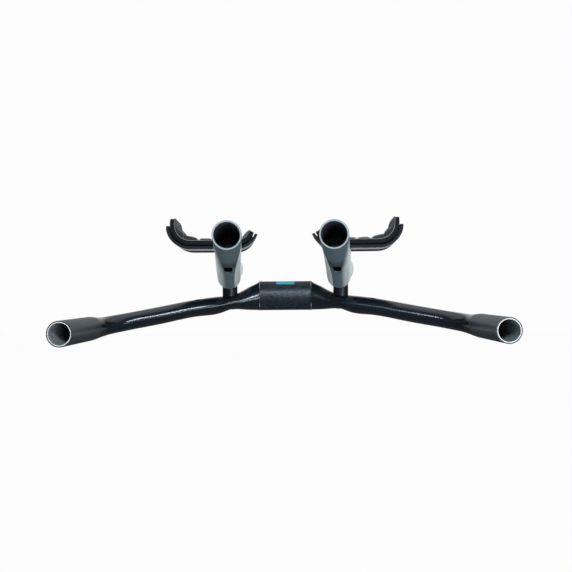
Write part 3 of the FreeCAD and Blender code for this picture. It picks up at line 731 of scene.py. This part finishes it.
# %% Trees with named inputs
class Growth(Wiring):
    """A geometry tree with named inputs."""

    def __init__(self, name, **inputs):
        super().__init__(bpy.data.node_groups.new(name, "GeometryNodeTree"))
        self.tree.interface.new_socket("Geometry", in_out="INPUT", socket_type="NodeSocketGeometry")
        self.tree.interface.new_socket("Geometry", in_out="OUTPUT", socket_type="NodeSocketGeometry")
        for label, kind in inputs.items():
            self.tree.interface.new_socket(label, in_out="INPUT", socket_type=f"NodeSocket{kind}")
        self.entry = self.tree.nodes.new("NodeGroupInput")

    def given(self, label):
        return Value(self, self.entry.outputs[label])

    def end(self, geometry):
        real = self.node("GeometryNodeRealizeInstances", None, {"Geometry": geometry})
        painted = self.node("GeometryNodeSetMaterial", None,
                            {"Geometry": real, "Material": self.given("Finish")})
        exit_node = self.tree.nodes.new("NodeGroupOutput")
        self.feed(exit_node.inputs["Geometry"], painted)

    def run(self, name, data, finish, **sizes):
        """A plain mesh object, grown from a mesh."""
        source = placed(f"{name}_source", data)
        modifier = source.modifiers.new("grow", "NODES")
        modifier.node_group = self.tree
        values = {"Finish": finish.material, **sizes}
        for item in self.tree.interface.items_tree:
            if item.in_out == "INPUT" and item.name in values:
                modifier[item.identifier] = values[item.name]
        solved = source.evaluated_get(bpy.context.evaluated_depsgraph_get())
        grown = bpy.data.meshes.new_from_object(solved)
        bpy.data.objects.remove(source)
        grown.shade_smooth()
        return placed(name, grown)


print("geometry trees ready")

# %% [markdown]
# ## Piping and nap
# The piping is a small circle swept along the pad's outline. The nap scatters thin cones over the cover,
# each leaning its own way and a little longer or shorter than the next.

# %% Trees for piping and nap
LEAST_LEAN = (-0.8, -0.8, -3.1)
MOST_LEAN = (0.8, 0.8, 3.1)
SHORTEST = 0.6
LONGEST = 1.2

piping_tree = Growth("piping", Radius="Float", Finish="Material")
profile = piping_tree.node("GeometryNodeCurvePrimitiveCircle", None,
                           {"Resolution": 8, "Radius": piping_tree.given("Radius")})
path = piping_tree.node("GeometryNodeMeshToCurve", None, {"Mesh": piping_tree.given("Geometry")})
swept = piping_tree.node("GeometryNodeCurveToMesh", None, {"Curve": path, "Profile Curve": profile})
piping_tree.end(swept)

nap_tree = Growth("nap", Density="Float", Length="Float", Thickness="Float", Seed="Int", Finish="Material")
scatter = {"Mesh": nap_tree.given("Geometry"), "Density": nap_tree.given("Density"),
           "Seed": nap_tree.given("Seed")}
points = nap_tree.node("GeometryNodeDistributePointsOnFaces", None, scatter, "Points")
upright = Value(nap_tree, points.socket.node.outputs["Rotation"])
fibre = nap_tree.node("GeometryNodeMeshCone", {"fill_type": "NONE"},
                      {"Vertices": 3, "Radius Top": 0.0, "Radius Bottom": nap_tree.given("Thickness"),
                       "Depth": nap_tree.given("Length")})
tilt = nap_tree.node("FunctionNodeRandomValue", {"data_type": "FLOAT_VECTOR"},
                     {0: LEAST_LEAN, 1: MOST_LEAN, "Seed": 7}, 0)
tilted = nap_tree.node("FunctionNodeEulerToRotation", None, {0: tilt})
leaning = nap_tree.node("FunctionNodeRotateRotation", {"rotation_space": "LOCAL"},
                        {"Rotation": upright, "Rotate By": tilted})
stature = nap_tree.node("FunctionNodeRandomValue", {"data_type": "FLOAT"},
                        {2: SHORTEST, 3: LONGEST, "Seed": 11}, 1)
fibres = nap_tree.node("GeometryNodeInstanceOnPoints", None,
                       {"Points": points, "Instance": fibre, "Rotation": leaning, "Scale": stature})
nap_tree.end(fibres)
print("trees:", piping_tree.tree.name, nap_tree.tree.name)

# %% [markdown]
# ## What the trees grow from
# The piping needs a closed line round the pad, at the height of the joint. The nap needs the top of the
# cover alone, because nothing grows on its sides. The right armrest mirrors the left one.


# %% Lines and sheets to grow from
def outline_mesh(name, outset, height):
    """A closed line round the pad."""
    places = []
    for row in range(ROWS + 1):
        run = -outset + (PAD_RUN + 2 * outset) * row / ROWS
        places.append((run, half_reach(run, -outset)))
    spots = [in_frame(run, reach, height) for run, reach in places]
    spots += [in_frame(run, -reach, height) for run, reach in reversed(places)]
    data = bpy.data.meshes.new(name)
    data.from_pydata(spots, [(place, (place + 1) % len(spots)) for place in range(len(spots))], [])
    return data


def top_sheet(data):
    """The upper sheet of the cover alone."""
    spots = [vertex.co.copy() for vertex in data.vertices[SHEET_POINTS:2 * SHEET_POINTS]]
    wide = COLUMNS + 1
    starts = [row * wide + column for row in range(ROWS) for column in range(COLUMNS)]
    sheet = bpy.data.meshes.new("cover_top")
    sheet.from_pydata(spots, [], [(start, start + wide, start + wide + 1, start + 1) for start in starts])
    return sheet


def on_side(data, side):
    """A copy of a mesh of the left armrest, mirrored for the right one."""
    made = data.copy()
    if side == "right":
        made.transform(Matrix.Scale(-1.0, 4, (1.0, 0.0, 0.0)))
        made.flip_normals()
    return made


piping_line = outline_mesh("piping_line", outset=0.0001, height=0.0008)
cover_top = top_sheet(cover_data)
print("piping follows", len(piping_line.vertices), "points")

# %% [markdown]
# ## Both armrests
# Foam and cover stand for the plain solid pad, which stays hidden for collision. Nothing on this bar moves
# by hand, so every piece rides on its only body. Each nap has a seed of its own, so the sides differ.

# %% Dress both armrests
PIPING_SIZES = {"Radius": 0.00035}
NAP_SIZES = {"Density": 1.1e6, "Length": 0.0011, "Thickness": 0.00007}
NAP_SEEDS = {"left": 3, "right": 8}

for side in SIDES:
    base = placed(f"{side}_pad_foam", on_side(foam_data, side), foam)
    cover = placed(f"{side}_pad_cover", on_side(cover_data, side), napped)
    piping = piping_tree.run(f"{side}_pad_piping", on_side(piping_line, side), piping_grey, **PIPING_SIZES)
    nap = nap_tree.run(f"{side}_pad_nap", on_side(cover_top, side), napped, Seed=NAP_SEEDS[side], **NAP_SIZES)
    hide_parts(f"{side}_armrest_pad")
    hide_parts(f"{side}_armrest_pad")
    for piece in (base, cover, piping, nap):
        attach(piece, "root")
    print(side, "armrest:", [len(piece.data.polygons) for piece in (base, cover, piping, nap)])

# %% [markdown]
# ## The floor
# A pale floor, well below the bar, catches its shadow. To the camera it is nearly white. To mirrored rays
# it is white only far behind the bar and dark everywhere else, like the dim room behind a photographer,
# so that black gloss stays black.

# %% Lay the floor
FLOOR_LEVEL = -0.40
FLOOR_SIZE = 12.0
FLOOR_BEHIND = (1.5, 4.5)
FLOOR_GLOW = 0.95
WHITE = (1.0, 1.0, 1.0)
DIM = (0.06, 0.06, 0.06)

bpy.ops.mesh.primitive_plane_add(size=FLOOR_SIZE, location=(0.0, 0.0, FLOOR_LEVEL))
floor = bpy.context.object
floor.name = "floor"
paper = Finish("floor_paper", Roughness=0.9, Base_Color=(0.82, 0.82, 0.82, 1.0))
to_camera, mirrored, through_glass = paper.rays()
behind = paper.step(paper.place()[1], *FLOOR_BEHIND)
tone = paper.mix(mirrored * (1 - behind), WHITE, DIM)
glow = paper.node("ShaderNodeEmission", None, {"Color": tone, "Strength": 1.0})
seen = paper.math("MINIMUM", to_camera + mirrored + through_glass, 1.0)
plain = Value(paper, paper.shader.outputs[0])
blend = paper.node("ShaderNodeMixShader", None, {0: seen * FLOOR_GLOW, 1: plain, 2: glow})
paper.feed(paper.tree.nodes["Material Output"].inputs["Surface"], blend)
floor.data.materials.append(paper.material)
print("floor at", FLOOR_LEVEL)

# %% [markdown]
# ## The world
# The world is white to the camera, and lights the bar from all sides at about half of that level. To
# mirrored rays it is bright only straight behind the bar, and dim elsewhere.

# %% Set the world
BEHIND_HEADING = (-1.0, -0.8)
SEEN_LEVEL = 0.98
LIGHT_LEVEL = 0.6
MIRROR_LOSS = 0.94
LIGHT_LOSS = 0.15

world = bpy.data.worlds.new("studio")
bpy.context.scene.world = world
world.use_nodes = True
sky = Wiring(world.node_tree)
heading = sky.node("ShaderNodeTexCoord", output="Generated")
forward = sky.node("ShaderNodeSeparateXYZ", None, {0: heading}, 1) * -1
elsewhere = sky.step(forward, *BEHIND_HEADING)
to_camera, mirrored, through_glass = sky.rays()
shown = sky.math("MINIMUM", to_camera + through_glass + mirrored * (1 - elsewhere * MIRROR_LOSS), 1.0)
lighting = sky.math("MAXIMUM", 1 - to_camera - mirrored - through_glass, 0.0)
background = sky.tree.nodes["Background"]
background.inputs["Color"].default_value = (*WHITE, 1.0)
strength = shown * SEEN_LEVEL + lighting * (LIGHT_LEVEL - elsewhere * LIGHT_LOSS)
sky.feed(background.inputs["Strength"], strength)
print("world set")

# %% [markdown]
# ## The lamps
# Three soft lamps do the rest. One in front, above the camera, draws the band on the clamp zone. A long,
# narrow one in front and to the side draws the line along the right wing. A large one overhead, behind
# the bar, lights the tops.


# %% Hang the lamps
def soft_lamp(name, place, aim, width, height, power):
    lamp = bpy.data.lights.new(name, "AREA")
    lamp.shape = "RECTANGLE"
    lamp.size = width
    lamp.size_y = height
    lamp.energy = power
    holder = bpy.data.objects.new(name, lamp)
    bpy.context.scene.collection.objects.link(holder)
    facing = (Vector(aim) - Vector(place)).to_track_quat("-Z", "Y")
    holder.matrix_world = Matrix.Translation(place) @ facing.to_matrix().to_4x4()
    print(name, "at", place)


MIDDLE = (0.0, 0.0, 0.0)
RIGHT_WING = (-0.11, -0.025, -0.015)
soft_lamp("key_lamp", (0.16, -1.26, 0.62), MIDDLE, width=0.5, height=0.2, power=13.5)
soft_lamp("wing_lamp", (0.62, -1.21, -0.05), RIGHT_WING, width=0.7, height=0.08, power=5.0)
soft_lamp("top_lamp", (0.0, 0.6, 1.4), MIDDLE, width=2.4, height=1.6, power=7.0)
